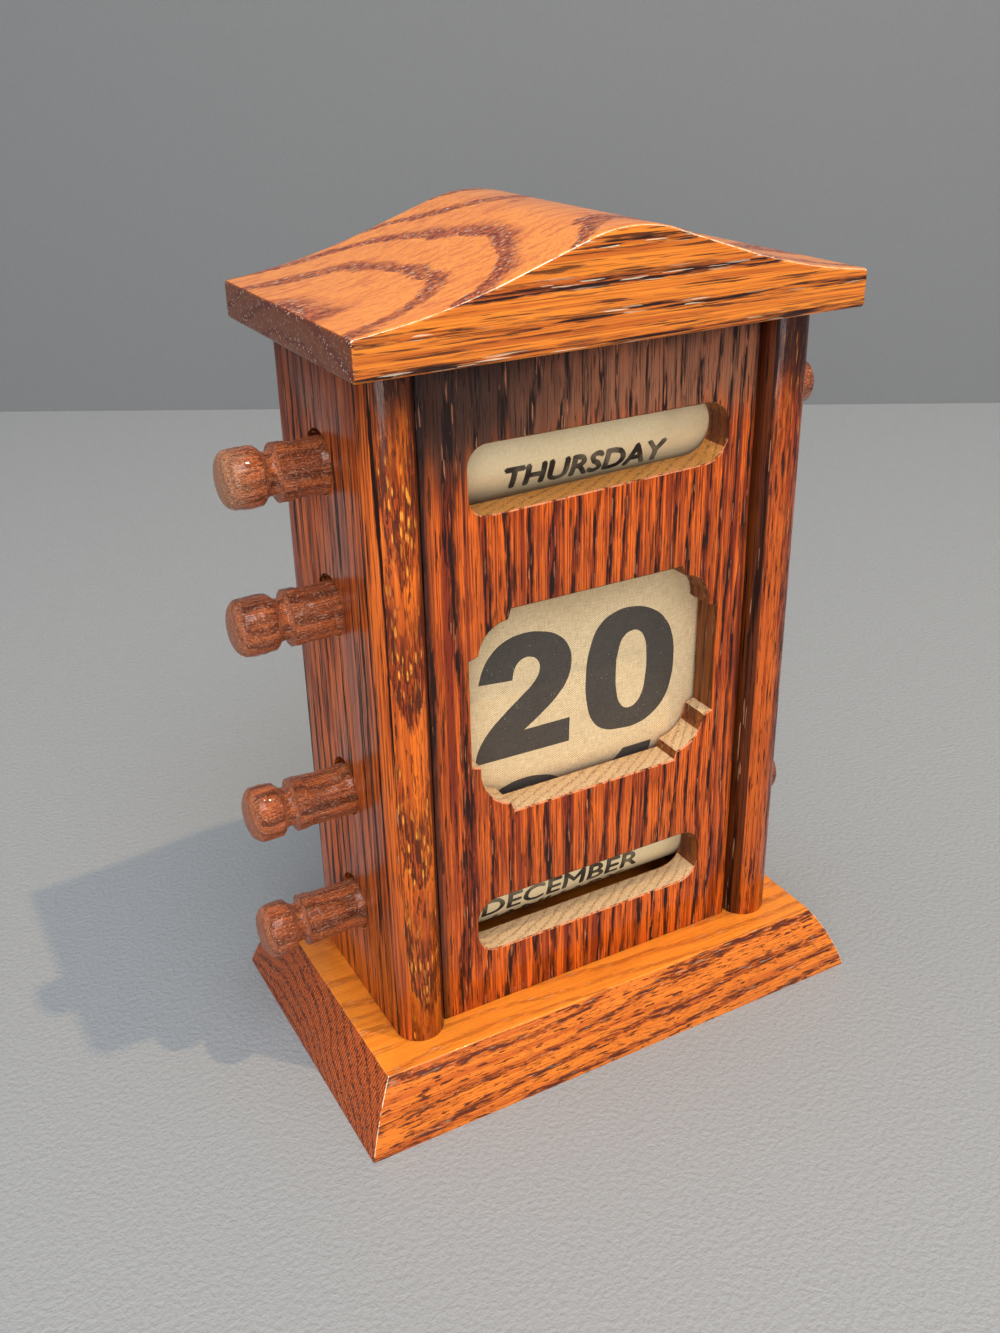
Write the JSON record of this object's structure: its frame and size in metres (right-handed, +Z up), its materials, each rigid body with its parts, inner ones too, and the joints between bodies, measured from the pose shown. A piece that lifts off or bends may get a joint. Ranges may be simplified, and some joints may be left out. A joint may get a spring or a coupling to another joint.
{
  "type": "perpetual desk calendar",
  "caption": "Small wooden perpetual calendar: turned knobs in its sides roll the day, the date and the month past windows in the front panel, under an ogee roof.",
  "frame": {"origin": "middle of the underside of the base, where the calendar rests", "axes": "+X to the right of someone who reads it, -Y towards the reader, +Z up"},
  "size_m": [0.1249, 0.0678, 0.1628],
  "materials": {
    "varnished_oak": "gloss",
    "turned_wood": "satin",
    "bare_wood": "matte",
    "label_paper": "matte",
    "band_cloth": "matte",
    "steel": "satin"
  },
  "bodies": {
    "case": {"base_board": "varnished_oak", "left_side": "varnished_oak", "right_side": "varnished_oak", "front_panel": "varnished_oak", "roof_board": "varnished_oak", "back_panel": "varnished_oak", "bottom_glue_block": "bare_wood", "top_glue_block": "bare_wood", "left_back_cleat": "bare_wood", "right_back_cleat": "bare_wood", "base_screws": "steel", "roof_dowels": "bare_wood", "back_screws": "steel", "date_band": "band_cloth"},
    "day_roller": {"day_spindle": "turned_wood", "day_drum": "bare_wood", "day_label": "label_paper", "day_pin": "steel"},
    "month_roller": {"month_spindle": "turned_wood", "month_drum": "bare_wood", "month_label": "label_paper", "month_pin": "steel"},
    "date_upper_roller": {"date_upper_spindle": "turned_wood", "date_upper_drum": "bare_wood", "date_upper_roll": "band_cloth", "date_upper_pin": "steel"},
    "date_lower_roller": {"date_lower_spindle": "turned_wood", "date_lower_drum": "bare_wood", "date_lower_roll": "band_cloth", "date_lower_pin": "steel"}
  },
  "joints": [
    {"name": "day_turn", "type": "hinge", "parent": "case", "child": "day_roller", "pos_m": [0, -0.0015, 0.1244], "axis": [-1, 0, 0], "continuous": true},
    {"name": "month_turn", "type": "hinge", "parent": "case", "child": "month_roller", "pos_m": [0, -0.0015, 0.034], "axis": [-1, 0, 0], "continuous": true},
    {"name": "date_upper_turn", "type": "hinge", "parent": "case", "child": "date_upper_roller", "pos_m": [0, -0.0015, 0.098], "axis": [-1, 0, 0], "range_deg": [-2867, 1660]},
    {"name": "date_lower_turn", "type": "hinge", "parent": "case", "child": "date_lower_roller", "pos_m": [0, -0.0015, 0.0605], "axis": [-1, 0, 0], "range_deg": [-3059, 1771]}
  ],
  "couplings": [
    {"joint": "date_lower_turn", "follows": "date_upper_turn", "ratio": 1.0667}
  ]
}
